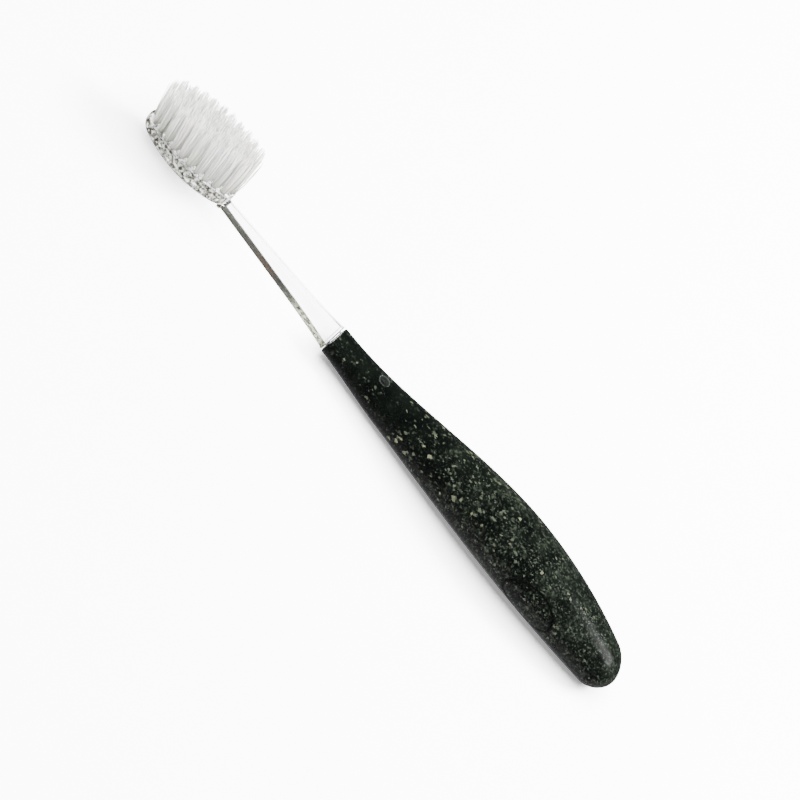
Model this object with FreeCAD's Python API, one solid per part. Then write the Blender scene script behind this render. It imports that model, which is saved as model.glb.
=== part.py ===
"""Manual toothbrush with a replaceable clear head.

Millimetres. X runs along the brush, from the head (-X) to the tail of the handle (+X).
Y runs across it, and +Z is the side of the bristles. The brush lies on its back on Z = 0,
and the origin is the middle of the bottom of its bounding box.
While it is being built, X = 0 is the handle's top end and Z = 0 is the axis of the neck.
"""
import FreeCAD, Part
import math
import os

# Handle: one thick moulding, slim at the neck, with a belly and a tapered round tail
HANDLE_LENGTH = 114.0
TOP_WIDTH = 10.8
TOP_FRONT = 3.45
TOP_BACK = 3.45
BELLY_AT = 72.0
BELLY_WIDTH = 23.6
BELLY_FRONT = 12.2
BELLY_BACK = 4.75
TAIL_WIDTH = 13.8
TAIL_FRONT = 5.9
TAIL_BACK = 4.3
TAIL_ROUNDING = 6.5
TOP_EDGE_RADIUS = 0.4
SECTION_PITCH = 8.0
SECTION_POINTS = 24
BACK_SETTLES_AT = 22.0
BACK_FLAT_DEPTH = 0.3

# Round window in the handle's front, where the latch is pressed
WINDOW_AT = 16.3
WINDOW_DIAMETER = 3.0
WINDOW_RIM = 0.35

# Plain oval field on each side of the handle, marked by a moulded groove
OVAL_AT = 83.0
OVAL_LENGTH = 17.4
OVAL_HEIGHT = 9.6
OVAL_GROOVE_WIDTH = 0.55
OVAL_GROOVE_DEPTH = 0.35

# Neck: a flat clear strap that flares towards the handle, and its collar
NECK_LENGTH = 43.4
NECK_THICKNESS = 2.1
NECK_HEAD_WIDTH = 3.3
NECK_FLARE_WIDTH = 6.9
NECK_BASE_WIDTH = 10.5
NECK_FLARE_LENGTH = 16.0
NECK_EDGE_RADIUS = 0.45
NECK_ROOT_RADIUS = 1.0
NECK_REACH = 8.0
COLLAR_THICKNESS = 0.65
COLLAR_STEP = 0.14
COLLAR_GAP = 0.45

# Tang of the head and the socket that takes it
TANG_WIDTH = 6.6
TANG_DEPTH = 20.2
TANG_EDGE_RADIUS = 0.3
SOCKET_CLEARANCE = 0.15

# Latch: a springy tongue in the tang, with a bump that stands in the handle's window
TONGUE_WIDTH = 3.2
TONGUE_THICKNESS = 0.9
TONGUE_LENGTH = 9.8
TONGUE_SIDE_GAP = 0.2
TONGUE_ROOT_GAP = 0.08
BUMP_CLEARANCE = 0.25
BUMP_HEIGHT = 0.75
BUMP_CROWN = 0.25
BUMP_TO_TONGUE_END = 1.6

# Head plate, tilted back from the neck's axis
PLATE_LENGTH = 30.0
PLATE_WIDTH = 13.0
PLATE_TIP_RADIUS = 4.9
PLATE_RISE = 2.9
PLATE_ROOT_CORNER = 4.2
PLATE_ROOT_THICKNESS = 3.4
PLATE_MID_THICKNESS = 4.2
PLATE_TIP_THICKNESS = 2.4
PLATE_TILT = 6.5
PLATE_TOP_RADIUS = 0.45
PLATE_BACK_RADIUS = 1.1

# Tufts: two rings that follow the plate's outline and a row between them
TUFT_EDGE_MARGIN = 1.7
TUFT_ROW_PITCH = 2.2
OUTER_RING_COUNT = 22
INNER_RING_COUNT = 16
MIDDLE_ROW_COUNT = 6
MIDDLE_ROW_SHARE = 0.45
TUFT_HOLE_DIAMETER = 1.7
TUFT_HOLE_DEPTH = 1.8
TUFT_CLEARANCE = 0.05
TUFT_TIP_DIAMETER = 2.1
TUFT_ROOT_HEIGHT = 14.0
TUFT_TIP_HEIGHT = 11.6
TUFT_LEAN_ROOT = 4.0
TUFT_LEAN_TIP = 12.0
TUFT_SPLAY = 7.0

# Anchors: small metal plates that pin each folded tuft in its hole
ANCHOR_BITE = 0.15
ANCHOR_THICKNESS = 0.25
ANCHOR_HEIGHT = 1.1
ANCHOR_FLOOR = 0.35

OVERREACH = 10.0
V = FreeCAD.Vector
X_AXIS = V(1, 0, 0)
Y_AXIS = V(0, 1, 0)
Z_AXIS = V(0, 0, 1)

NECK_BASE_X = -COLLAR_GAP - COLLAR_THICKNESS
PLATE_ROOT_X = NECK_BASE_X - NECK_LENGTH
NECK_TOP = NECK_THICKNESS / 2
PLATE_ROOT_TOP = NECK_TOP + PLATE_RISE
TONGUE_END_X = WINDOW_AT + BUMP_TO_TONGUE_END


def ease(share):
    """Smooth step from 0 to 1, level at both ends."""
    share = min(max(share, 0.0), 1.0)
    return share * share * (3 - 2 * share)


def mixed(first, second, share):
    return first + (second - first) * share


def handle_form(x):
    """Half width, front height and back depth of the handle at x, before its end is rounded."""
    if x <= BELLY_AT:
        rise = ease(x / BELLY_AT)
        back_rise = ease(x / BACK_SETTLES_AT)
        half_width = mixed(TOP_WIDTH, BELLY_WIDTH, rise) / 2
        front = mixed(TOP_FRONT, BELLY_FRONT, rise)
        back = mixed(TOP_BACK, BELLY_BACK, back_rise)
    else:
        fall = ((x - BELLY_AT) / (HANDLE_LENGTH - BELLY_AT)) ** 2
        half_width = mixed(BELLY_WIDTH, TAIL_WIDTH, fall) / 2
        front = mixed(BELLY_FRONT, TAIL_FRONT, fall)
        back = mixed(BELLY_BACK, TAIL_BACK, fall)
    return half_width, front, back


def handle_middle(x):
    """Height of the handle's widest line, where its two mould halves met."""
    half_width, front, back = handle_form(x)
    return (front - back) / 2


def handle_section(x, inset):
    """Elliptic section of the handle at x, drawn in by inset and by the rounding of the tail."""
    half_width, front, back = handle_form(x)
    into_tail = (x - HANDLE_LENGTH + TAIL_ROUNDING) / TAIL_ROUNDING
    rounding = math.sqrt(1 - into_tail ** 2) if into_tail > 0 else 1.0
    across = half_width * rounding - inset
    through = (front + back) / 2 * rounding - inset
    points = []
    for i in range(SECTION_POINTS):
        angle = 2 * math.pi * i / SECTION_POINTS
        points.append(V(x, across * math.cos(angle), handle_middle(x) + through * math.sin(angle)))
    curve = Part.BSplineCurve()
    curve.interpolate(points, PeriodicFlag=True)
    return Part.Wire([curve.toShape()])


def handle_body(inset):
    """The handle's outer form, or a copy of it that lies inset below the surface."""
    round_from = HANDLE_LENGTH - TAIL_ROUNDING
    spans = max(2, round(round_from / SECTION_PITCH))
    places = [round_from * i / spans for i in range(spans + 1)]
    for degrees in (18, 35, 50, 63, 74, 82):
        places.append(round_from + TAIL_ROUNDING * math.sin(math.radians(degrees)))
    return Part.makeLoft([handle_section(x, inset) for x in places], True, False)


def rounded_bar(x_from, x_to, width, thickness, radius):
    """Bar along X of rounded rectangular section, centred on the axis."""
    face = Part.Face(bar_section(x_from, width / 2, -thickness / 2, thickness / 2, radius))
    return face.extrude(V(x_to - x_from, 0, 0))


def bar_section(x, half_width, low, high, radius):
    """Rounded rectangle across X, from low to high and half_width to each side."""
    corners = (
        (half_width - radius, high - radius, 0),
        (radius - half_width, high - radius, 90),
        (radius - half_width, low + radius, 180),
        (half_width - radius, low + radius, 270),
    )
    arcs = []
    for y, z, start in corners:
        points = []
        for turn in (0, 45, 90):
            angle = math.radians(start + turn)
            points.append(V(x, y + radius * math.cos(angle), z + radius * math.sin(angle)))
        arcs.append(Part.Arc(*points).toShape())
    edges = []
    for arc, following in zip(arcs, arcs[1:] + arcs[:1]):
        edges.append(arc)
        edges.append(Part.makeLine(arc.Vertexes[-1].Point, following.Vertexes[0].Point))
    return Part.Wire(edges)


def oval_prism(length, height):
    """Oval on the handle's widest line, carried right through the handle."""
    depth = BELLY_WIDTH + OVERREACH
    centre = V(OVAL_AT, -depth / 2, handle_middle(OVAL_AT))
    edge = Part.Ellipse(V(0, 0, 0), length / 2, height / 2).toShape()
    edge.Placement = FreeCAD.Placement(centre, FreeCAD.Rotation(X_AXIS, 90))
    return Part.Face(Part.Wire([edge])).extrude(V(0, depth, 0))


def make_handle():
    """Handle with its flat back, oval fields, socket and latch window."""
    body = handle_body(0.0)
    top_edges = [edge for edge in body.Edges if edge.BoundBox.XMax < TOP_EDGE_RADIUS / 10]
    body = body.makeFillet(TOP_EDGE_RADIUS, top_edges)

    width = BELLY_WIDTH + OVERREACH
    flat = V(-OVERREACH, -width / 2, BACK_FLAT_DEPTH - BELLY_BACK - OVERREACH)
    body = body.cut(Part.makeBox(HANDLE_LENGTH + 2 * OVERREACH, width, OVERREACH, flat))

    groove = oval_prism(OVAL_LENGTH, OVAL_HEIGHT)
    groove = groove.cut(oval_prism(OVAL_LENGTH - 2 * OVAL_GROOVE_WIDTH, OVAL_HEIGHT - 2 * OVAL_GROOVE_WIDTH))
    body = body.cut(groove.cut(handle_body(OVAL_GROOVE_DEPTH)))

    socket = rounded_bar(
        -OVERREACH,
        TANG_DEPTH,
        TANG_WIDTH + 2 * SOCKET_CLEARANCE,
        NECK_THICKNESS + 2 * SOCKET_CLEARANCE,
        TANG_EDGE_RADIUS,
    )
    radius = WINDOW_DIAMETER / 2
    front = handle_form(WINDOW_AT)[1]
    window = Part.makeCylinder(radius, front + OVERREACH, V(WINDOW_AT, 0, 0))
    rim = Part.makeCone(radius, radius + 2 * WINDOW_RIM, 2 * WINDOW_RIM, V(WINDOW_AT, 0, front - WINDOW_RIM))
    return body.cut(socket.fuse([window, rim])).removeSplitter()


def neck_half_width(x):
    """Straight taper from the head, then a curved flare down to the collar."""
    flare_from = NECK_BASE_X - NECK_FLARE_LENGTH
    if x <= flare_from:
        share = (x - PLATE_ROOT_X) / (flare_from - PLATE_ROOT_X)
        return mixed(NECK_HEAD_WIDTH, NECK_FLARE_WIDTH, max(share, 0.0)) / 2
    taper = (NECK_FLARE_WIDTH - NECK_HEAD_WIDTH) / (flare_from - PLATE_ROOT_X)
    share = (x - flare_from) / NECK_FLARE_LENGTH
    straight = NECK_FLARE_WIDTH + taper * (x - flare_from)
    left_over = NECK_BASE_WIDTH - NECK_FLARE_WIDTH - taper * NECK_FLARE_LENGTH
    return (straight + left_over * share ** 2) / 2


def hollow_corner(radius, depth):
    """Filling for an inner corner at the origin: a hollow quarter round in +X and +Y, deep in Z."""
    slant = radius * (1 - math.sqrt(0.5))
    curve = Part.Arc(V(0, radius, 0), V(slant, slant, 0), V(radius, 0, 0)).toShape()
    behind = Part.makePolygon([
        V(radius, 0, 0),
        V(radius, -radius, 0),
        V(-radius, -radius, 0),
        V(-radius, radius, 0),
        V(0, radius, 0),
    ])
    filling = Part.Face(Part.Wire([curve] + behind.Edges)).extrude(V(0, 0, depth))
    filling.translate(V(0, 0, -depth / 2))
    return filling


def make_neck():
    """Strap from inside the plate, where it forms a low spine on the back, to the collar."""
    start = PLATE_ROOT_X - NECK_REACH
    places = [mixed(start, NECK_BASE_X, i / 12) for i in range(13)]
    sides = []
    for side in (1, -1):
        curve = Part.BSplineCurve()
        curve.interpolate([V(x, side * neck_half_width(x), -NECK_TOP) for x in places])
        sides.append(curve.toShape())
    left, right = sides
    ends = [Part.makeLine(left.Vertexes[i].Point, right.Vertexes[i].Point) for i in (0, -1)]
    outline = Part.Wire([left, ends[1], right, ends[0]])
    strap = Part.Face(outline).extrude(V(0, 0, NECK_THICKNESS))
    long_edges = [edge for edge in strap.Edges if edge.Length > NECK_LENGTH]
    strap = strap.makeFillet(NECK_EDGE_RADIUS, long_edges)

    web = hollow_corner(NECK_ROOT_RADIUS, NECK_THICKNESS - 2 * NECK_EDGE_RADIUS)
    web.translate(V(PLATE_ROOT_X, NECK_HEAD_WIDTH / 2, 0))
    other_web = web.mirror(V(0, 0, 0), Y_AXIS)
    ramp = hollow_corner(NECK_ROOT_RADIUS, NECK_HEAD_WIDTH - 2 * NECK_EDGE_RADIUS)
    ramp.rotate(V(0, 0, 0), X_AXIS, 90)
    ramp.translate(V(PLATE_ROOT_X, 0, NECK_TOP))
    return strap.fuse([web, other_web, ramp])


def mirrored(point):
    return V(point.x, -point.y, point.z)


def plate_outline(inset):
    """Oval outline of the plate, drawn in by inset: root on Y, bowed sides, narrow tip towards -X."""
    half = PLATE_WIDTH / 2 - inset
    tip_radius = PLATE_TIP_RADIUS - inset
    corner_radius = max(PLATE_ROOT_CORNER - inset, NECK_EDGE_RADIUS)
    reach = PLATE_LENGTH / 2 - PLATE_TIP_RADIUS
    side_radius = (reach ** 2 + half ** 2 - tip_radius ** 2) / (2 * (half - tip_radius))
    side_centre = V(-PLATE_LENGTH / 2, half - side_radius, 0)
    tip_centre = V(PLATE_TIP_RADIUS - PLATE_LENGTH, 0, 0)
    corner_x = -inset - corner_radius
    rise = math.sqrt((side_radius - corner_radius) ** 2 - (corner_x - side_centre.x) ** 2)
    corner_centre = V(corner_x, side_centre.y + rise, 0)

    to_tip = (tip_centre - side_centre).normalize()
    to_corner = (corner_centre - side_centre).normalize()
    root = V(-inset, 0, 0)
    corner_start = V(-inset, corner_centre.y, 0)
    corner_middle = corner_centre + (to_corner + X_AXIS).normalize() * corner_radius
    side_start = side_centre + to_corner * side_radius
    side_middle = V(side_centre.x, half, 0)
    side_end = side_centre + to_tip * side_radius
    edges = [
        Part.LineSegment(root, corner_start),
        Part.Arc(corner_start, corner_middle, side_start),
        Part.Arc(side_start, side_middle, side_end),
        Part.Arc(side_end, V(inset - PLATE_LENGTH, 0, 0), mirrored(side_end)),
        Part.Arc(mirrored(side_end), mirrored(side_middle), mirrored(side_start)),
        Part.Arc(mirrored(side_start), mirrored(corner_middle), mirrored(corner_start)),
        Part.LineSegment(mirrored(corner_start), root),
    ]
    return Part.Wire([edge.toShape() for edge in edges])


def side_profile(points, width):
    """Solid with a flat outline in the XZ plane, as wide as width in Y."""
    ring = [V(x, -width / 2, z) for x, z in points]
    return Part.Face(Part.makePolygon(ring + ring[:1])).extrude(V(0, width, 0))


def make_plate():
    """The plate before it is tilted: its top is Z = 0, and its back is a shallow arc."""
    deep = PLATE_ROOT_THICKNESS + OVERREACH
    plate = Part.Face(plate_outline(0.0)).extrude(V(0, 0, -deep)).removeSplitter()
    half = PLATE_WIDTH / 2 + OVERREACH
    root = V(0, -half, -PLATE_ROOT_THICKNESS)
    middle = V(-PLATE_LENGTH / 2, -half, -PLATE_MID_THICKNESS)
    tip = V(-PLATE_LENGTH, -half, -PLATE_TIP_THICKNESS)
    back = Part.Arc(root, middle, tip).toShape()
    above = Part.makePolygon([tip, V(tip.x, -half, OVERREACH), V(0, -half, OVERREACH), root])
    plate = plate.common(Part.Face(Part.Wire([back] + above.Edges)).extrude(V(0, 2 * half, 0)))
    back_edges = [e for e in plate.Edges if e.CenterOfMass.z < -PLATE_TIP_THICKNESS * 0.9]
    plate = plate.makeFillet(PLATE_BACK_RADIUS, back_edges)
    top_edges = [e for e in plate.Edges if e.BoundBox.ZMin > -PLATE_TOP_RADIUS / 10]
    return plate.makeFillet(PLATE_TOP_RADIUS, top_edges)


def tuft_places():
    """Points on the plate's top where the tufts stand: outer ring, inner ring and middle row."""
    places = []
    for ring, count in ((0, OUTER_RING_COUNT), (1, INNER_RING_COUNT)):
        outline = plate_outline(TUFT_EDGE_MARGIN + ring * TUFT_ROW_PITCH)
        places += outline.discretize(count + 1)[:-1]
    row_length = PLATE_LENGTH * MIDDLE_ROW_SHARE
    row_start = (row_length - PLATE_LENGTH) / 2
    for i in range(MIDDLE_ROW_COUNT):
        places.append(V(row_start - row_length * i / (MIDDLE_ROW_COUNT - 1), 0, 0))
    return places


def tuft_placement(place):
    """Stands a tuft's own Z axis on the plate, fanned towards the tip and out to the sides."""
    lean = mixed(TUFT_LEAN_ROOT, TUFT_LEAN_TIP, -place.x / PLATE_LENGTH)
    splay = TUFT_SPLAY * place.y / (PLATE_WIDTH / 2)
    direction = V(-math.tan(math.radians(lean)), math.tan(math.radians(splay)), 1)
    return FreeCAD.Placement(place, FreeCAD.Rotation(Z_AXIS, direction))


def make_anchor():
    """Anchor of one tuft, in the tuft's own frame, with the plate's top at Z = 0."""
    length = TUFT_HOLE_DIAMETER + 2 * ANCHOR_BITE
    corner = V(-length / 2, -ANCHOR_THICKNESS / 2, ANCHOR_FLOOR - TUFT_HOLE_DEPTH)
    return Part.makeBox(length, ANCHOR_THICKNESS, ANCHOR_HEIGHT, corner)


def make_tuft_hole():
    depth = TUFT_HOLE_DEPTH
    return Part.makeCylinder(TUFT_HOLE_DIAMETER / 2, depth + OVERREACH, V(0, 0, -depth))


def make_tuft_blank():
    """Tuft folded round its anchor, longer than it is trimmed to, in its own frame."""
    radius = TUFT_HOLE_DIAMETER / 2 - TUFT_CLEARANCE
    depth = TUFT_HOLE_DEPTH - TUFT_CLEARANCE
    height = TUFT_ROOT_HEIGHT + OVERREACH
    growth = (TUFT_TIP_DIAMETER / 2 - radius) / TUFT_ROOT_HEIGHT
    root = Part.makeCylinder(radius, depth, V(0, 0, -depth))
    free = Part.makeCone(radius, radius + growth * height, height)
    return root.fuse(free).removeSplitter().cut(make_anchor())


def trim_block():
    """Everything below the sloping plane to which the bristles are cut."""
    slope = (TUFT_TIP_HEIGHT - TUFT_ROOT_HEIGHT) / PLATE_LENGTH
    reach = PLATE_LENGTH + OVERREACH
    points = (
        (OVERREACH, -OVERREACH),
        (OVERREACH, TUFT_ROOT_HEIGHT - slope * OVERREACH),
        (-reach, TUFT_ROOT_HEIGHT + slope * reach),
        (-reach, -OVERREACH),
    )
    return side_profile(points, PLATE_WIDTH + 2 * OVERREACH)


def tilted(shape):
    """Carries a shape from the plate's own frame to its place on the neck."""
    shape = shape.copy()
    shape.rotate(V(0, 0, 0), Y_AXIS, -PLATE_TILT)
    shape.translate(V(PLATE_ROOT_X, 0, PLATE_ROOT_TOP))
    return shape


def placed(shape, placement):
    shape = shape.copy()
    shape.Placement = placement.multiply(shape.Placement)
    return shape


def make_latch_tongue():
    """Springy tongue of the latch, with a round bump that stands in the handle's window."""
    corner = V(TONGUE_END_X - TONGUE_LENGTH, -TONGUE_WIDTH / 2, NECK_TOP - TONGUE_THICKNESS)
    bar = Part.makeBox(TONGUE_LENGTH, TONGUE_WIDTH, TONGUE_THICKNESS, corner)
    radius = WINDOW_DIAMETER / 2 - BUMP_CLEARANCE
    bump = Part.makeCylinder(radius, BUMP_HEIGHT, V(WINDOW_AT, 0, NECK_TOP))
    rim = [edge for edge in bump.Edges if edge.BoundBox.ZMin > NECK_TOP + BUMP_HEIGHT / 2]
    return bar.fuse(bump.makeFillet(BUMP_CROWN, rim)).removeSplitter()


def make_tang():
    """Collar and tang, with the slot in which the latch tongue springs."""
    collar = rounded_bar(
        NECK_BASE_X,
        NECK_BASE_X + COLLAR_THICKNESS,
        NECK_BASE_WIDTH + 2 * COLLAR_STEP,
        NECK_THICKNESS + 2 * COLLAR_STEP,
        NECK_EDGE_RADIUS,
    )
    tang = rounded_bar(NECK_BASE_X, TANG_DEPTH, TANG_WIDTH, NECK_THICKNESS, TANG_EDGE_RADIUS)
    start = TONGUE_END_X - TONGUE_LENGTH - TONGUE_ROOT_GAP
    length = TONGUE_END_X + TONGUE_SIDE_GAP - start
    width = TONGUE_WIDTH + 2 * TONGUE_SIDE_GAP
    slot = Part.makeBox(length, width, NECK_THICKNESS + OVERREACH, V(start, -width / 2, -NECK_TOP - OVERREACH / 2))
    return collar.fuse(tang).cut(slot)


def make_head_pieces():
    """The clear head, its tufts in order along the rings, and the anchors as one group."""
    plate = make_plate()
    anchors = []
    holes = []
    tufts = []
    tuft_blank = make_tuft_blank()
    below_trim = trim_block()
    for place in tuft_places():
        placement = tuft_placement(place)
        anchors.append(placed(make_anchor(), placement))
        holes.append(placed(make_tuft_hole(), placement))
        tufts.append(placed(tuft_blank, placement).common(below_trim))
    head = tilted(plate).fuse([make_neck(), make_tang()])
    head = head.cut([tilted(cutter) for cutter in holes + anchors]).removeSplitter()
    return head, [tilted(tuft) for tuft in tufts], Part.makeCompound([tilted(a) for a in anchors])


def make_nodes():
    """Every node by name, in the frame of the handle's top end."""
    head, tufts, anchors = make_head_pieces()
    nodes = {
        "handle": make_handle(),
        "brush_head": head,
        "latch_tongue": make_latch_tongue(),
        "tuft_anchors": anchors,
    }
    for number, tuft in enumerate(tufts, 1):
        nodes[f"tuft_{number:02d}"] = tuft
    return nodes


def main():
    os.makedirs("parts", exist_ok=True)
    nodes = make_nodes()
    box = Part.makeCompound(list(nodes.values())).optimalBoundingBox(True, False)
    origin = V(box.Center.x, 0, box.ZMin)
    print(f"handle's top end at x = {-origin.x:.4f}, neck axis at z = {-origin.z:.4f}")
    for name, shape in nodes.items():
        shape = shape.copy()
        shape.translate(V(0, 0, 0) - origin)
        shape.exportStep(f"parts/{name}.step")
        print(f"{name}: {len(shape.Solids)} solid, {shape.Volume:.3f} mm3, valid {shape.isValid()}")


main()
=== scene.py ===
"""Looks of the manual toothbrush: speckled handle, clear head, filament bristles, studio."""

import math
import random

import bpy
import bmesh
import numpy as np
from mathutils import Matrix, Vector


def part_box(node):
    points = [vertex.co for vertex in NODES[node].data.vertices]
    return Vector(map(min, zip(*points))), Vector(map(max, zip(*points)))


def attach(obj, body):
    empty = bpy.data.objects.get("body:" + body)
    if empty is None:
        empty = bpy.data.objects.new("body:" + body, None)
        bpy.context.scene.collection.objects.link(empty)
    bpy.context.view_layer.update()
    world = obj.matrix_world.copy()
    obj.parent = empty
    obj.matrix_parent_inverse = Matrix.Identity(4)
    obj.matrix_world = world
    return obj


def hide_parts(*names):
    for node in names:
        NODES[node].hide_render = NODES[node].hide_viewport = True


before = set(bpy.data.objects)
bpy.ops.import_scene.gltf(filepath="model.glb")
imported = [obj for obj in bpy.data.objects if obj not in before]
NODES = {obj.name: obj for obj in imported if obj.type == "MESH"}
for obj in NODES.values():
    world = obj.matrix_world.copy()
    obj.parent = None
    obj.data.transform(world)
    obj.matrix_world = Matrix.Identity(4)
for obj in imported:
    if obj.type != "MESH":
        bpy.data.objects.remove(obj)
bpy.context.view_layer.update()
MM = 0.001

# The handle's top end and the neck's axis, in the shared frame
TOP_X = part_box("handle")[0].x
AXIS_Z = 4.45 * MM

# Camera: angles in degrees, and where the picture shows the handle's top end
CAMERA_AZIMUTH = -5.5
CAMERA_ELEVATION = 37.25
CAMERA_ROLL = 51.3
CAMERA_DISTANCE = 0.95
CAMERA_CLIP = (0.01, 20.0)
SENSOR_WIDTH = 36.0
PIXELS_PER_METRE = 3912.5
FRAME_PIXELS = 800
TOP_END_PIXEL = (333.8, 339.4)

# Handle, in millimetres from its top end and from the neck's axis. A size is the width, the height
# of the front and the depth of the back.
HANDLE_LENGTH = 114.0
TOP_SIZE = (10.8, 3.45, 3.45)
BELLY_AT = 72.0
BELLY_SIZE = (23.6, 12.2, 4.75)
TAIL_SIZE = (13.8, 5.9, 4.3)
TAIL_ROUNDING = 6.5
BACK_SETTLES_AT = 22.0
BACK_FLAT = -4.45
TOP_EDGE_RADIUS = 0.4
SHARP_ANGLE = 35

# Oval groove on each side. Points nearer its middle than OVAL_INSIDE, as a share, stay as they are.
OVAL_AT = 83.0
OVAL_HALVES = (8.42, 4.52)
OVAL_DEPTH = 0.3
OVAL_WIDTH = 0.2
OVAL_INSIDE = 0.5

# Mould seam: a ridge that grows towards the tail, on the turns whose sine is about nought
SEAM_HEIGHT = 0.05
SEAM_FROM = 88
SEAM_GROWS_OVER = 12
SEAM_SINE = 0.005

# Latch window: the bevel's bend is in shares of the rim, and the cutter goes past the surface
WINDOW_AT = 16.3
WINDOW_RADIUS = 1.5
WINDOW_RIM = 0.4
WINDOW_BEND = (0.25, 0.45)
WINDOW_BEVEL_PAST = 0.05
WINDOW_CUT_PAST = 2
WINDOW_SIDES = 96

# Socket for the tang: depth, width and thickness
SOCKET = (20.2, 6.9, 2.4)
SOCKET_CUT_PAST = 4.0
SOCKET_EDGE_RADIUS = 0.3
SOCKET_EDGE_STEPS = 3

# The handle's mesh: from, to and step of each stretch, along it in millimetres and round it
# in degrees
TOP_EDGE_TURNS = (0, 20, 40, 60)
STRETCHES = (
    (TOP_EDGE_RADIUS, 13.5, 0.8),
    (13.5, 19.1, 0.3),
    (19.1, 73.0, 0.9),
    (73.0, 93.0, 0.2),
    (93.0, HANDLE_LENGTH - TAIL_ROUNDING, 0.8),
)
TAIL_TURNS = range(0, 90, 5)
SIDE_TURNS = (-42, 42, 1.4)
FRONT_TURNS = (42, 138, 3.4)

# The handle's look. A range is the values from and to, and what they become.
GROUND_GRAIN = 130.0
GROUND_TINTS = [(0.3, (0.0003, 0.0005, 0.0004)), (0.7, (0.0011, 0.0017, 0.0012))]
# Painted shade along the oval groove: a dark line where the groove's walls lie in shade
GROOVE_SHADE_RANGE = (0.04, 0.08, 1.0, 0.0)
GROOVE_SHADE_TINT = (0.0006, 0.0008, 0.0006)
# Painted highlight: a pale ring on the window's bevel, on the front only
WINDOW_HIGHLIGHT_AT = WINDOW_RADIUS + WINDOW_RIM / 4
WINDOW_HIGHLIGHT_RANGE = (WINDOW_RIM * 0.2, WINDOW_RIM * 0.4, 0.85, 0.0)
WINDOW_HIGHLIGHT_TINT = (0.026, 0.030, 0.027)
WINDOW_HIGHLIGHT_ABOVE = AXIS_Z + 2.5 * MM
HAZE_GRAIN = 420.0
HANDLE_ROUGHNESS = (0.3, 0.7, 0.2, 0.3)
HANDLE_BUMP = {"Strength": 0.05, "Distance": 0.00003}
HANDLE_IOR = 1.5

# Chips in the handle: cells per metre, seed, share of cells along the handle, colours
CHIPS = (
    (
        3500.0, 1,
        [(0.0, 0.10), (0.25, 0.08), (0.5, 0.33), (0.7, 0.43), (1.0, 0.42)],
        [
            (0.0, (0.0008, 0.0013, 0.0008)),
            (0.6, (0.0026, 0.0038, 0.0026)),
            (1.0, (0.0155, 0.0195, 0.0142)),
        ],
    ),
    (
        1900.0, 2,
        [(0.0, 0.03), (0.22, 0.03), (0.4, 0.16), (0.68, 0.14), (0.85, 0.06)],
        [
            (0.0, (0.0018, 0.0027, 0.0018)),
            (0.7, (0.0072, 0.0088, 0.0060)),
            (1.0, (0.025, 0.029, 0.019)),
        ],
    ),
    (
        1350.0, 3,
        [(0.0, 0.0), (0.2, 0.008), (0.33, 0.055), (0.55, 0.022), (0.75, 0.0)],
        [
            (0.0, (0.011, 0.0155, 0.0098)),
            (0.7, (0.026, 0.030, 0.019)),
            (1.0, (0.050, 0.052, 0.031)),
        ],
    ),
)
CHIP_DRIFT = (0.35, 0.65, 0.5, 1.35)
CHIP_SQUEEZE = 0.7
CHIP_SHIFT = (3.7, 7.1, 1.3)

# The chips' grid stands on its corner, so that no face of it lies flat on the handle and shows
# as rings
CHIP_TURN = (math.pi / 4, math.atan(math.sqrt(0.5)), 0.0)

# Clear head: where the plate starts, and where painted shade marks its sides, its top and the
# collar
PLATE_ROOT_X = TOP_X - 44.5 * MM
CLOUD_GRAIN = 160.0
SPARKLE_GRAIN = 1400.0
STREAKS = (1000.0, 2000.0, 2000.0)
FLANK_SHADE_RANGE = (0.25, 0.5)
PLATE_TOP_SHADE_RANGE = (0.6, 0.9, 0.0, 0.9)
NEAR_COLLAR_RANGE = (0.64, 0.78)
SOCKET_RANGE = (TOP_X - 0.3 * MM, TOP_X, 1.0, 0.35)
# Painted shade: a dark dash at the step where the plate starts, and two dark lines at the collar's
# joint
DASH_X = PLATE_ROOT_X + 0.55 * MM
DASH_Z = AXIS_Z + 1.5 * MM
DASH_HALVES = (0.35 * MM, 0.6 * MM)
DASH_FACES_UP = 0.3
COLLAR_LINES_AT = (1.22 * MM, 0.5 * MM)
COLLAR_LINE = 0.1 * MM
INNER_LINE_STRENGTH = 0.6
BAND_EDGE = 1.5

# Its tints, and the painted shade tints of the plate's top and sides and of the neck's sides from
# the plate to the collar
BODY_TINTS = [(0.35, (0.84, 0.83, 0.89)), (0.65, (0.90, 0.89, 0.95))]
PLATE_TOP_SHADE_TINTS = [
    (0.36, (0.08, 0.08, 0.067)),
    (0.5, (0.26, 0.26, 0.235)),
    (0.62, (0.75, 0.75, 0.74)),
]
PLATE_SIDE_SHADE_TINTS = [
    (0.36, (0.016, 0.016, 0.012)),
    (0.5, (0.085, 0.085, 0.07)),
    (0.62, (0.36, 0.36, 0.34)),
]
NECK_SIDE_SHADE_TINTS = [
    (0.0, (0.024, 0.024, 0.020)),
    (0.3, (0.022, 0.021, 0.018)),
    (0.42, (0.025, 0.018, 0.014)),
    (0.55, (0.016, 0.0155, 0.014)),
    (0.7, (0.024, 0.024, 0.016)),
]
NEAR_COLLAR_SHADE_TINTS = [(0.42, (0.013, 0.013, 0.007)), (0.6, (0.15, 0.16, 0.11))]
SHADE_MARK_TINT = (0.02, 0.02, 0.018)
SHADOW_TINT = (0.9, 0.91, 0.9, 1.0)

# How far the places with painted shade hide what lies behind them: the neck's sides at the plate
# and at the collar, the plate's sides, and the dash and lines
NECK_SHADE_SOLID = (0.9, 0.7)
PLATE_SHADE_SOLID = 0.6
SHADE_MARK_SOLID = 0.9
CLEAR_ROUGHNESS = (0.3, 0.7, 0.015, 0.05)
CLEAR_BUMP = {"Strength": 0.06, "Distance": 0.00005}
CLEAR_IOR = 1.48

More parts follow.
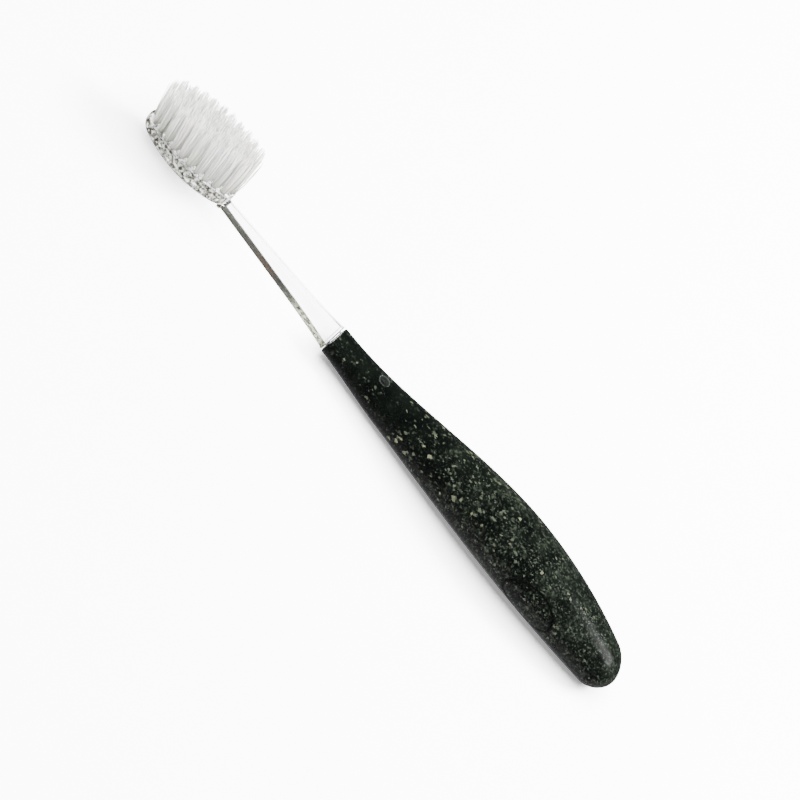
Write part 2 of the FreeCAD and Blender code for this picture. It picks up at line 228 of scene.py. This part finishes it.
# Bristles: a tuft's radii start in its hole, HOLE_SHARE of the way down, and its levels are shares
# of the free height. A filament's tip is as long as FILAMENT_TIP radii.
BRISTLE_SEED = 7
FILAMENTS = 60
FILAMENT_SIDES = 5
FILAMENT_RADIUS = 0.075 * MM
FILAMENT_TIP = 1.6
GOLDEN_ANGLE = math.pi * (3 - math.sqrt(5))
HOLE_DEPTH = 1.75 * MM
HOLE_SHARE = 0.7
TUFT_RADII = (0.72 * MM, 0.76 * MM, 1.42 * MM, 1.7 * MM, 1.8 * MM, 1.75 * MM)
TUFT_LEVELS = (0.0, 0.1, 0.35, 0.7, 1.0)

# Bristle tips: their height over the solid's end, how far they fall to the tuft's rim, how ragged
# the cut is, how far and how widely they stray, the angle by which they leave the even pattern, the
# lean towards the handle, and the tuft's narrowing on its other side
TUFT_OVER = 1.0 * MM
TUFT_CROWN = 1.8 * MM
TUFT_RAGGED = 1.8 * MM
TUFT_STRAY = 0.6 * MM
TUFT_STRAY_SPREAD = 0.5
TUFT_JITTER = 0.15
TUFT_LEAN = 0.7 * MM
TUFT_TIP_SIDE = 0.7

# A tuft's axis joins the middles of its solid's lowest and highest points, given as shares of the
# height, and its free length ends at the points of the tip's rim
FOOT_BELOW = 0.2
TIP_ABOVE = 0.6
TIP_RIM = 1.0 * MM

# Bristle tints: along a filament, darker towards the root as painted shade among the tufts, from
# filament to filament, and from tuft to tuft
BRISTLE_TINTS = {
    "along": [
        (0.0, (0.29, 0.29, 0.26)),
        (0.12, (0.48, 0.48, 0.44)),
        (0.5, (0.80, 0.81, 0.79)),
        (1.0, (0.95, 0.955, 0.95)),
    ],
    "shade": [(0.0, (0.42, 0.43, 0.42)), (0.35, (0.84, 0.84, 0.83)), (1.0, (1.0, 1.0, 1.0))],
    "tone": [(0.0, (0.95, 0.96, 0.88)), (0.5, (1.0, 1.0, 1.0)), (1.0, (0.98, 0.94, 0.92))],
}
BRISTLE_SHADER = {"Roughness": 0.35, "Transmission Weight": 0.25, "IOR": 1.5}

# Anchors
METAL_GRAIN = 2500.0
METAL_TINTS = [(0.3, (0.55, 0.50, 0.36)), (0.7, (0.80, 0.76, 0.62))]
METAL_ROUGHNESS = (0.3, 0.7, 0.25, 0.45)

# Studio: the floor, the sky from below to above, and the lamps with their place, aim, size, watts
# and whether reflections show them
FLOOR_HALF = 6.0
FLOOR_Z = -0.0002
FLOOR_GRAIN = 300.0
FLOOR_TINTS = [(0.0, (0.90, 0.90, 0.90)), (1.0, (0.93, 0.93, 0.93))]
FLOOR_SHADER = {
    "Roughness": 0.9,
    "Specular IOR Level": 0.1,
    "Emission Color": (1.0, 1.0, 1.0, 1.0),
    "Emission Strength": 0.4,
}
SKY_TINTS = [
    (0.0, (0.36, 0.36, 0.36)),
    (0.2, (0.34, 0.34, 0.34)),
    (0.45, (0.10, 0.10, 0.10)),
    (1.0, (0.06, 0.06, 0.06)),
]
LAMPS = {
    "overhead": ((0.0, 0.0, 1.6), (0.0, 0.0, 0.0), (2.4, 2.4), 392.0, False),
    "key": ((0.54, 0.46, 0.62), (0.06, 0.0, 0.0), (0.4, 0.4), 54.0, False),
    "tail_softbox": ((0.64, 0.32, 0.63), (0.09, 0.0, 0.0), (0.4, 0.36), 1.6, True),
}


class Look:
    """A node tree, with short ways to add and join nodes."""

    def __init__(self, tree):
        self.nodes, self.links = tree.nodes, tree.links

    def fill(self, made, inputs):
        """Give a node's inputs their values, or join them to the sockets given."""
        for key, value in inputs.items():
            if isinstance(value, bpy.types.NodeSocket):
                self.links.new(value, made.inputs[key])
            else:
                made.inputs[key].default_value = value

    def node(self, kind, inputs, **settings):
        made = self.nodes.new(kind)
        for key, value in settings.items():
            setattr(made, key, value)
        self.fill(made, inputs)
        return made

    def math(self, operation, *values):
        made = self.node("ShaderNodeMath", dict(enumerate(values)), operation=operation)
        return made.outputs[0]

    def vector(self, operation, *values):
        made = self.node("ShaderNodeVectorMath", dict(enumerate(values)), operation=operation)
        return made.outputs[0]

    def length(self, vector):
        return self.node("ShaderNodeVectorMath", {0: vector}, operation="LENGTH").outputs["Value"]

    def split(self, vector):
        return self.node("ShaderNodeSeparateXYZ", {0: vector}).outputs

    def noise(self, place, grain, detail):
        inputs = {"Vector": place, "Scale": grain, "Detail": detail}
        return self.node("ShaderNodeTexNoise", inputs).outputs["Fac"]

    def map_range(self, value, low, high, to_low=0.0, to_high=1.0):
        inputs = {0: value, 1: low, 2: high, 3: to_low, 4: to_high}
        return self.node("ShaderNodeMapRange", inputs).outputs[0]

    def ramp(self, value, stops):
        made = self.node("ShaderNodeValToRGB", {0: value})
        elements = made.color_ramp.elements
        while len(elements) < len(stops):
            elements.new(0.5)
        for element, (position, color) in zip(elements, stops):
            element.position = position
            element.color = (*color, 1.0)
        return made.outputs[0]

    def mix(self, factor, first, second, blend="MIX"):
        if isinstance(second, tuple):
            second = (*second, 1.0)
        inputs = {0: factor, 6: first, 7: second}
        return self.node("ShaderNodeMix", inputs, data_type="RGBA", blend_type=blend).outputs[2]

    def bump(self, height, settings):
        return self.node("ShaderNodeBump", {"Height": height, **settings}).outputs[0]

    def rest(self, value):
        """What is left of 1."""
        return self.math("SUBTRACT", 1.0, value)

    def off(self, value, middle):
        """Distance of a value from a middle."""
        return self.math("ABSOLUTE", self.math("SUBTRACT", value, middle))

    def band(self, value, middle, half):
        """1 where a value lies within a half width of its middle, with soft edges."""
        return self.map_range(self.off(value, middle), half, half * BAND_EDGE, 1.0, 0.0)

    def product(self, first, *others):
        for other in others:
            first = self.math("MULTIPLY", first, other)
        return first

    def largest(self, first, *others):
        for other in others:
            first = self.math("MAXIMUM", first, other)
        return first


def new_look(name):
    """A new material, its node tree and its shader."""
    material = bpy.data.materials.new(name)
    material.use_nodes = True
    look = Look(material.node_tree)
    return material, look, look.nodes["Principled BSDF"]


def add_object(name, data):
    made = bpy.data.objects.new(name, data)
    bpy.context.scene.collection.objects.link(made)
    return made


def mesh_data(name, mesh):
    """Mesh data from a bmesh, which is freed."""
    data = bpy.data.meshes.new(name)
    mesh.to_mesh(data)
    mesh.free()
    return data


def shade_smooth(data):
    for polygon in data.polygons:
        polygon.use_smooth = True


def chip_layer(look, place, scale, amount, seed):
    """Angular chips, longer along the handle: a mask, and a random value per chip."""
    shift = tuple(seed * step for step in CHIP_SHIFT)
    shifted = look.vector("MULTIPLY_ADD", place, (scale * CHIP_SQUEEZE, scale, scale), shift)
    turned = look.node(
        "ShaderNodeVectorRotate", {"Vector": shifted, "Rotation": CHIP_TURN},
        rotation_type="EULER_XYZ", invert=True).outputs[0]
    cells = look.node("ShaderNodeTexVoronoi", {"Vector": turned, "Scale": 1.0, "Randomness": 1.0})
    red, _, blue = look.node("ShaderNodeSeparateColor", {0: cells.outputs["Color"]}).outputs
    return look.math("LESS_THAN", red, amount), blue


def oval_ring(look, place):
    """Distance from the oval's middle, 1 on its line."""
    centre = (-TOP_X - OVAL_AT * MM, 0.0, -AXIS_Z - OVAL_MIDDLE * MM)
    halves = (1 / OVAL_HALVES[0] / MM, 0.0, 1 / OVAL_HALVES[1] / MM)
    return look.length(look.vector("MULTIPLY", look.vector("ADD", place, centre), halves))


def window_distance(look, place):
    """Distance from the window's axis, in millimetres."""
    from_axis = look.vector("ADD", place, (-TOP_X - WINDOW_AT * MM, 0.0, 0.0))
    return look.length(look.vector("MULTIPLY", from_axis, (1 / MM, 1 / MM, 0.0)))


def handle_material():
    """Near-black composite with three sizes of chips, painted shade on the oval line and a painted
    highlight on the window rim.
    """
    material, look, shader = new_look("speckled_composite_look")
    place = look.node("ShaderNodeTexCoord", {}).outputs["Object"]
    x, _, z = look.split(place)
    along = look.map_range(x, TOP_X, TOP_X + HANDLE_LENGTH * MM)
    cloud = look.noise(place, GROUND_GRAIN, detail=3.0)
    color = look.ramp(cloud, GROUND_TINTS)
    drift = look.map_range(cloud, *CHIP_DRIFT)
    for scale, seed, crowd, tints in CHIPS:
        amount = look.ramp(along, [(at, (share, share, share)) for at, share in crowd])
        mask, chance = chip_layer(look, place, scale, look.product(amount, drift), seed)
        color = look.mix(mask, color, look.ramp(chance, tints))
    # Painted shade: the oval groove's line is darkened
    groove = look.map_range(look.off(oval_ring(look, place), 1.0), *GROOVE_SHADE_RANGE)
    color = look.mix(groove, color, GROOVE_SHADE_TINT)
    # Painted highlight on the window's bevel
    off_ring = look.off(window_distance(look, place), WINDOW_HIGHLIGHT_AT)
    rim = look.map_range(off_ring, *WINDOW_HIGHLIGHT_RANGE)
    rim = look.product(rim, look.math("GREATER_THAN", z, WINDOW_HIGHLIGHT_ABOVE))
    color = look.mix(rim, color, WINDOW_HIGHLIGHT_TINT)
    haze = look.noise(place, HAZE_GRAIN, detail=3.0)
    look.fill(shader, {
        "Base Color": color,
        "Roughness": look.map_range(haze, *HANDLE_ROUGHNESS),
        "Normal": look.bump(haze, HANDLE_BUMP),
        "IOR": HANDLE_IOR,
    })
    return material


def clear_material():
    """Clear plastic with painted shade: grey sides and edges where thick clear plastic darkens by
    refraction, shade on the plate's top between the tufts, and a dark dash and collar lines.
    """
    material, look, shader = new_look("clear_plastic_look")
    coords = look.node("ShaderNodeTexCoord", {})
    place = coords.outputs["Object"]
    x, _, z = look.split(place)
    _, to_y, to_z = look.split(coords.outputs["Normal"])
    cloud = look.noise(place, CLOUD_GRAIN, detail=3.0)
    sparkle = look.noise(place, SPARKLE_GRAIN, detail=2.0)
    streaks = look.noise(look.vector("MULTIPLY", place, STREAKS), grain=1.0, detail=2.0)

    along = look.map_range(x, PLATE_ROOT_X, TOP_X)
    on_plate = look.math("LESS_THAN", x, PLATE_ROOT_X)
    out_of_socket = look.map_range(x, *SOCKET_RANGE)
    seen_outside = look.rest(look.node("ShaderNodeNewGeometry", {}).outputs["Backfacing"])
    # Painted shade on the outward-facing sides of the neck and plate, standing in for refraction
    flank_shade = look.product(look.map_range(look.math("ABSOLUTE", to_y), *FLANK_SHADE_RANGE), seen_outside)
    neck_side_shade = look.product(flank_shade, look.rest(on_plate), out_of_socket)
    plate_side_shade = look.product(flank_shade, on_plate)
    # Painted shade with painted glints on the plate's top between the tufts
    plate_top_shade = look.product(look.map_range(to_z, *PLATE_TOP_SHADE_RANGE), on_plate)
    near_collar = look.map_range(along, *NEAR_COLLAR_RANGE)
    # Painted shade: a dash at the plate's root step and two lines at the collar's joint
    shade_dash = look.product(
        look.math("GREATER_THAN", to_z, DASH_FACES_UP),
        look.band(x, DASH_X, DASH_HALVES[0]),
        look.band(z, DASH_Z, DASH_HALVES[1]))
    inner_shade_line, outer_shade_line = (look.band(x, TOP_X - at, COLLAR_LINE) for at in COLLAR_LINES_AT)
    shade_marks = look.largest(shade_dash, look.product(inner_shade_line, INNER_LINE_STRENGTH), outer_shade_line)

    neck_shade_tint = look.mix(
        near_collar, look.ramp(along, NECK_SIDE_SHADE_TINTS), look.ramp(streaks, NEAR_COLLAR_SHADE_TINTS))
    color = look.mix(plate_top_shade, look.ramp(cloud, BODY_TINTS), look.ramp(sparkle, PLATE_TOP_SHADE_TINTS))
    color = look.mix(plate_side_shade, color, look.ramp(sparkle, PLATE_SIDE_SHADE_TINTS))
    color = look.mix(neck_side_shade, color, neck_shade_tint)
    color = look.mix(shade_marks, color, SHADE_MARK_TINT)
    solid = look.largest(
        look.product(neck_side_shade, look.map_range(near_collar, 0.0, 1.0, *NECK_SHADE_SOLID)),
        look.product(plate_side_shade, PLATE_SHADE_SOLID),
        look.product(shade_marks, SHADE_MARK_SOLID))
    look.fill(shader, {
        "Base Color": color,
        "Transmission Weight": look.rest(solid),
        "Roughness": look.map_range(cloud, *CLEAR_ROUGHNESS),
        "Normal": look.bump(cloud, CLEAR_BUMP),
        "IOR": CLEAR_IOR,
    })

    in_shadow = look.node("ShaderNodeLightPath", {}).outputs["Is Shadow Ray"]
    through = look.node("ShaderNodeBsdfTransparent", {"Color": SHADOW_TINT}).outputs[0]
    inputs = {0: in_shadow, 1: shader.outputs[0], 2: through}
    surface = look.node("ShaderNodeMixShader", inputs).outputs[0]
    look.fill(look.nodes["Material Output"], {0: surface})
    return material


def bristle_material():
    """White nylon, with painted shade that darkens it towards its root."""
    material, look, shader = new_look("bristle_nylon_look")
    color = None
    for name, stops in BRISTLE_TINTS.items():
        value = look.node("ShaderNodeAttribute", {}, attribute_name=name).outputs["Fac"]
        tint = look.ramp(value, stops)
        color = tint if color is None else look.mix(1.0, color, tint, "MULTIPLY")
    look.fill(shader, {"Base Color": color, **BRISTLE_SHADER})
    return material


def metal_material():
    """Brass-like metal of the anchors."""
    material, look, shader = new_look("anchor_metal_look")
    place = look.node("ShaderNodeTexCoord", {}).outputs["Object"]
    drawn = look.noise(place, METAL_GRAIN, detail=2.0)
    look.fill(shader, {
        "Base Color": look.ramp(drawn, METAL_TINTS),
        "Roughness": look.map_range(drawn, *METAL_ROUGHNESS),
        "Metallic": 1.0,
    })
    return material


def ease(share):
    share = min(max(share, 0.0), 1.0)
    return share * share * (3 - 2 * share)


def mixed(first, second, share):
    return first + (second - first) * share


def handle_form(x):
    """Half width, front height and back depth of the handle at x."""
    if x <= BELLY_AT:
        rise, settle = ease(x / BELLY_AT), ease(x / BACK_SETTLES_AT)
        width, front = (mixed(TOP_SIZE[i], BELLY_SIZE[i], rise) for i in (0, 1))
        back = mixed(TOP_SIZE[2], BELLY_SIZE[2], settle)
    else:
        fall = ((x - BELLY_AT) / (HANDLE_LENGTH - BELLY_AT)) ** 2
        width, front, back = (mixed(BELLY_SIZE[i], TAIL_SIZE[i], fall) for i in range(3))
    return width / 2, front, back


def middle_height(x):
    front, back = handle_form(x)[1:]
    return (front - back) / 2


OVAL_MIDDLE = middle_height(OVAL_AT)


def spaced(first, last, step):
    """Even places from first, without last."""
    count = max(1, round((last - first) / step))
    return [mixed(first, last, i / count) for i in range(count)]


def handle_stations():
    """Places along the handle, closer together at the window and the oval fields."""
    places = [TOP_EDGE_RADIUS * (1 - math.cos(math.radians(a))) for a in TOP_EDGE_TURNS]
    for stretch in STRETCHES:
        places += spaced(*stretch)
    places += [HANDLE_LENGTH - TAIL_ROUNDING * (1 - math.sin(math.radians(a))) for a in TAIL_TURNS]
    return places


def handle_turns():
    """Angles round the handle, closer together on its two sides."""
    half = [math.radians(a) for a in spaced(*SIDE_TURNS) + spaced(*FRONT_TURNS)]
    return half + [a + math.pi for a in half]


def handle_point(x, turn):
    """Point of the handle's surface at x and a turn about its axis, in the shared frame."""
    half_width, front, back = handle_form(x)
    into_tail = (x - HANDLE_LENGTH + TAIL_ROUNDING) / TAIL_ROUNDING
    rounding = math.sqrt(1 - into_tail ** 2) if into_tail > 0 else 1.0
    from_top = max(TOP_EDGE_RADIUS - x, 0.0)
    inset = TOP_EDGE_RADIUS - math.sqrt(TOP_EDGE_RADIUS ** 2 - from_top ** 2)
    on_seam = abs(math.sin(turn)) < SEAM_SINE
    seam = SEAM_HEIGHT * ease((x - SEAM_FROM) / SEAM_GROWS_OVER) if on_seam else 0.0
    y = (half_width * rounding - inset + seam * rounding) * math.cos(turn)
    z = middle_height(x) + ((front + back) / 2 * rounding - inset) * math.sin(turn)
    away = (x - OVAL_AT, z - OVAL_MIDDLE)
    ratio = math.hypot(away[0] / OVAL_HALVES[0], away[1] / OVAL_HALVES[1])
    if ratio > OVAL_INSIDE:
        distance = math.hypot(*away) * (1 - 1 / ratio)
        y -= math.copysign(OVAL_DEPTH * math.exp(-((distance / OVAL_WIDTH) ** 2)), y)
    return TOP_X + x * MM, y * MM, AXIS_Z + max(z, BACK_FLAT) * MM


def join_rings(mesh, rings):
    """Faces between each ring of vertices and the next."""
    for low, high in zip(rings, rings[1:]):
        count = len(low)
        for k in range(count):
            mesh.faces.new((low[k], low[(k + 1) % count], high[(k + 1) % count], high[k]))


def window_cutter():
    """Turned solid about the window's axis, widened by the bevel at the handle's surface."""
    top = handle_form(WINDOW_AT)[1]
    bend_out, bend_down = (WINDOW_RIM * share for share in WINDOW_BEND)
    profile = (
        (WINDOW_RADIUS, 0.0),
        (WINDOW_RADIUS, top - WINDOW_RIM),
        (WINDOW_RADIUS + bend_out, top - bend_down),
        (WINDOW_RADIUS + WINDOW_RIM, top + WINDOW_BEVEL_PAST),
        (WINDOW_RADIUS + WINDOW_RIM, top + WINDOW_CUT_PAST),
    )
    centre = Vector((TOP_X + WINDOW_AT * MM, 0, AXIS_Z))
    mesh = bmesh.new()
    rings = []
    for radius, height in profile:
        ring = []
        for k in range(WINDOW_SIDES):
            angle = 2 * math.pi * k / WINDOW_SIDES
            place = (radius * math.cos(angle) * MM, radius * math.sin(angle) * MM, height * MM)
            ring.append(mesh.verts.new(centre + Vector(place)))
        rings.append(ring)
    join_rings(mesh, rings)
    mesh.faces.new(list(reversed(rings[0])))
    mesh.faces.new(rings[-1])
    return add_object("window_cutter", mesh_data("window_cutter", mesh))


def socket_cutter():
    """Box with rounded edges that starts in front of the handle's top end."""
    depth, width, thickness = (v * MM for v in SOCKET)
    past = SOCKET_CUT_PAST * MM
    mesh = bmesh.new()
    bmesh.ops.create_cube(mesh, size=1.0)
    bmesh.ops.scale(mesh, vec=(depth + past, width, thickness), verts=mesh.verts)
    bmesh.ops.bevel(
        mesh, geom=mesh.edges[:], affect="EDGES",
        offset=SOCKET_EDGE_RADIUS * MM, segments=SOCKET_EDGE_STEPS)
    bmesh.ops.translate(mesh, vec=(TOP_X + depth / 2 - past / 2, 0, AXIS_Z), verts=mesh.verts)
    return add_object("socket_cutter", mesh_data("socket_cutter", mesh))


def cut_out(target, tools):
    """Take the tools' shapes out of the target, and remove the tools."""
    for tool in tools:
        cut = target.modifiers.new(tool.name, "BOOLEAN")
        cut.object = tool
        cut.operation = "DIFFERENCE"
        cut.solver = "EXACT"
    bpy.context.view_layer.update()
    graph = bpy.context.evaluated_depsgraph_get()
    done = bpy.data.meshes.new_from_object(target.evaluated_get(graph))
    target.modifiers.clear()
    target.data = done
    for tool in tools:
        bpy.data.objects.remove(tool)


def make_handle_skin():
    """Smooth handle with its oval grooves, mould seam, latch window and socket."""
    stations, turns = handle_stations(), handle_turns()
    count = len(turns)
    last = len(stations) - 1
    points = [handle_point(x, turn) for x in stations for turn in turns]
    points.append((TOP_X, 0, AXIS_Z))
    points.append((TOP_X + HANDLE_LENGTH * MM, 0, AXIS_Z + middle_height(HANDLE_LENGTH) * MM))
    faces = []
    for i in range(last):
        for k in range(count):
            a, b = i * count + k, i * count + (k + 1) % count
            faces.append((a, a + count, b + count, b))
    for k in range(count):
        faces.append((len(points) - 2, k, (k + 1) % count))
        faces.append((len(points) - 1, last * count + (k + 1) % count, last * count + k))
    data = bpy.data.meshes.new("handle_skin")
    data.from_pydata(points, [], faces)
    skin = add_object("handle_skin", data)
    cut_out(skin, (socket_cutter(), window_cutter()))
    shade_smooth(skin.data)
    skin.data.set_sharp_from_angle(angle=math.radians(SHARP_ANGLE))
    return skin


def tuft_line(solid):
    """Point of a tuft's axis at the plate's top, its direction and its free length."""
    points = np.array([v.co for v in solid.data.vertices], float)
    low, high = points[:, 2].min(), points[:, 2].max()
    foot = points[points[:, 2] < low + FOOT_BELOW * (high - low)].mean(0)
    tip = points[points[:, 2] > low + TIP_ABOVE * (high - low)].mean(0)
    direction = (tip - foot) / np.linalg.norm(tip - foot)
    reach = (points - foot) @ direction
    rim = points[reach > reach.max() - TIP_RIM]
    start = foot + direction * (reach.min() + HOLE_DEPTH)
    return Vector(start), Vector(direction), ((rim - start) @ direction).mean()


def add_filament(mesh, points, along, shade, tone, layers):
    """One nylon filament: a tube through points, closed by a pointed tip."""
    rings = []
    for i, point in enumerate(points):
        ahead = points[min(i + 1, len(points) - 1)] - points[max(i - 1, 0)]
        across = ahead.orthogonal().normalized()
        other = ahead.normalized().cross(across)
        ring = []
        for k in range(FILAMENT_SIDES):
            angle = 2 * math.pi * k / FILAMENT_SIDES
            outward = across * math.cos(angle) + other * math.sin(angle)
            vertex = mesh.verts.new(point + outward * FILAMENT_RADIUS)
            for layer, value in zip(layers, (along[i], shade, tone)):
                vertex[layer] = value
            ring.append(vertex)
        rings.append(ring)
    onward = (points[-1] - points[-2]).normalized()
    end = mesh.verts.new(points[-1] + onward * FILAMENT_RADIUS * FILAMENT_TIP)
    for layer, value in zip(layers, (1.0, shade, tone)):
        end[layer] = value
    join_rings(mesh, rings)
    for k in range(FILAMENT_SIDES):
        mesh.faces.new((rings[-1][k], rings[-1][(k + 1) % FILAMENT_SIDES], end))


def make_tuft(name, solid, dice):
    """Bundle of filaments in the place of one tuft's solid, leaning towards the handle."""
    start, direction, length = tuft_line(solid)
    across = direction.orthogonal().normalized()
    other = direction.cross(across)
    lean = Vector((TUFT_LEAN, 0, 0))
    mesh = bmesh.new()
    for attribute in BRISTLE_TINTS:
        mesh.verts.layers.float.new(attribute)
    layers = [mesh.verts.layers.float[attribute] for attribute in BRISTLE_TINTS]
    turn, tone = dice.uniform(0, 2 * math.pi), dice.random()
    for i in range(FILAMENTS):
        share = math.sqrt((i + 0.5) / FILAMENTS)
        angle = turn + i * GOLDEN_ANGLE + dice.uniform(-TUFT_JITTER, TUFT_JITTER)
        outward = across * math.cos(angle) + other * math.sin(angle)
        if outward.x < 0:
            outward.x *= TUFT_TIP_SIDE
        height = length + TUFT_OVER - TUFT_CROWN * share ** 2 - TUFT_RAGGED * dice.random() ** 2
        aside, beside = dice.gauss(0, TUFT_STRAY_SPREAD), dice.gauss(0, TUFT_STRAY_SPREAD)
        stray = (across * aside + other * beside) * TUFT_STRAY
        levels = [-HOLE_DEPTH * HOLE_SHARE] + [height * level for level in TUFT_LEVELS]
        points = []
        for level, spread in zip(levels, TUFT_RADII):
            lift = max(level, 0.0) / height
            point = start + direction * level + outward * share * spread
            points.append(point + stray * lift + lean * math.sqrt(lift))
        # Share of the free length, which the material darkens towards the root as painted shade
        along = [max(level, 0.0) / length for level in levels]
        add_filament(mesh, points, along, dice.random(), tone, layers)
    data = mesh_data(name, mesh)
    shade_smooth(data)
    return add_object(name, data)


def dress():
    """Materials on every visible piece, and the pieces that take the place of CAD nodes."""
    handle_look = handle_material()
    clear_look = clear_material()
    bristle_look = bristle_material()
    metal_look = metal_material()
    skin = make_handle_skin()
    skin.data.materials.clear()
    skin.data.materials.append(handle_look)
    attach(skin, "handle")
    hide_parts("handle")
    looks = {"brush_head": clear_look, "latch_tongue": clear_look, "tuft_anchors": metal_look}
    for name, look in looks.items():
        data = NODES[name].data
        data.materials.clear()
        data.materials.append(look)
    dice = random.Random(BRISTLE_SEED)
    for name in sorted(n for n in NODES if n.startswith("tuft_") and n != "tuft_anchors"):
        tuft = make_tuft("bristles_" + name[-2:], NODES[name], dice)
        tuft.data.materials.append(bristle_look)
        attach(tuft, "brush_head")
        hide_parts(name)


def view_axes():
    """Directions of the view: towards the camera, to the right of the picture and up in it."""
    angles = (CAMERA_AZIMUTH, CAMERA_ELEVATION, CAMERA_ROLL)
    azimuth, elevation, roll = (math.radians(a) for a in angles)
    level = math.cos(elevation)
    back = Vector((math.sin(azimuth) * level, -math.cos(azimuth) * level, math.sin(elevation)))
    first = Vector((1, 0, 0))
    first = (first - back * first.dot(back)).normalized()
    second = back.cross(first)
    right = first * math.cos(roll) + second * math.sin(roll)
    up = second * math.cos(roll) - first * math.sin(roll)
    return back, right, up


def make_camera():
    back, right, up = view_axes()
    across, down = ((FRAME_PIXELS / 2 - pixel) / PIXELS_PER_METRE for pixel in TOP_END_PIXEL)
    target = Vector((TOP_X, 0, AXIS_Z)) + right * across - up * down
    data = bpy.data.cameras.new("camera")
    data.sensor_width = SENSOR_WIDTH
    data.lens = PIXELS_PER_METRE * CAMERA_DISTANCE / FRAME_PIXELS * SENSOR_WIDTH
    data.clip_start, data.clip_end = CAMERA_CLIP
    camera = add_object("camera", data)
    turn = Matrix((right, up, back)).transposed().to_4x4()
    camera.matrix_world = Matrix.Translation(target + back * CAMERA_DISTANCE) @ turn
    bpy.context.scene.camera = camera


def make_floor():
    """Pale floor with a weak glow, like a lit table."""
    half = FLOOR_HALF
    corners = [(-half, -half, 0), (half, -half, 0), (half, half, 0), (-half, half, 0)]
    data = bpy.data.meshes.new("studio_floor")
    data.from_pydata(corners, [], [(0, 1, 2, 3)])
    floor = add_object("studio_floor", data)
    floor.location.z = FLOOR_Z
    material, look, shader = new_look("studio_floor_look")
    paper = look.node("ShaderNodeTexNoise", {"Scale": FLOOR_GRAIN}).outputs["Fac"]
    look.fill(shader, {"Base Color": look.ramp(paper, FLOOR_TINTS), **FLOOR_SHADER})
    data.materials.append(material)
    floor.visible_glossy = False


def make_sky():
    world = bpy.data.worlds.new("studio_world")
    world.use_nodes = True
    look = Look(world.node_tree)
    height = look.split(look.node("ShaderNodeTexCoord", {}).outputs["Generated"])[2]
    sky = look.ramp(look.map_range(height, -1.0, 1.0), SKY_TINTS)
    look.fill(look.nodes["Background"], {0: sky})
    bpy.context.scene.world = world


def make_lamps():
    for name, (place, aim, size, watts, reflects) in LAMPS.items():
        data = bpy.data.lights.new(name, "AREA")
        data.shape = "RECTANGLE"
        data.size, data.size_y = size
        data.energy = watts
        lamp = add_object(name, data)
        lamp.location = place
        lamp.rotation_euler = (Vector(aim) - Vector(place)).to_track_quat("-Z", "Y").to_euler()
        lamp.visible_glossy = reflects


dress()
make_camera()
make_floor()
make_sky()
make_lamps()
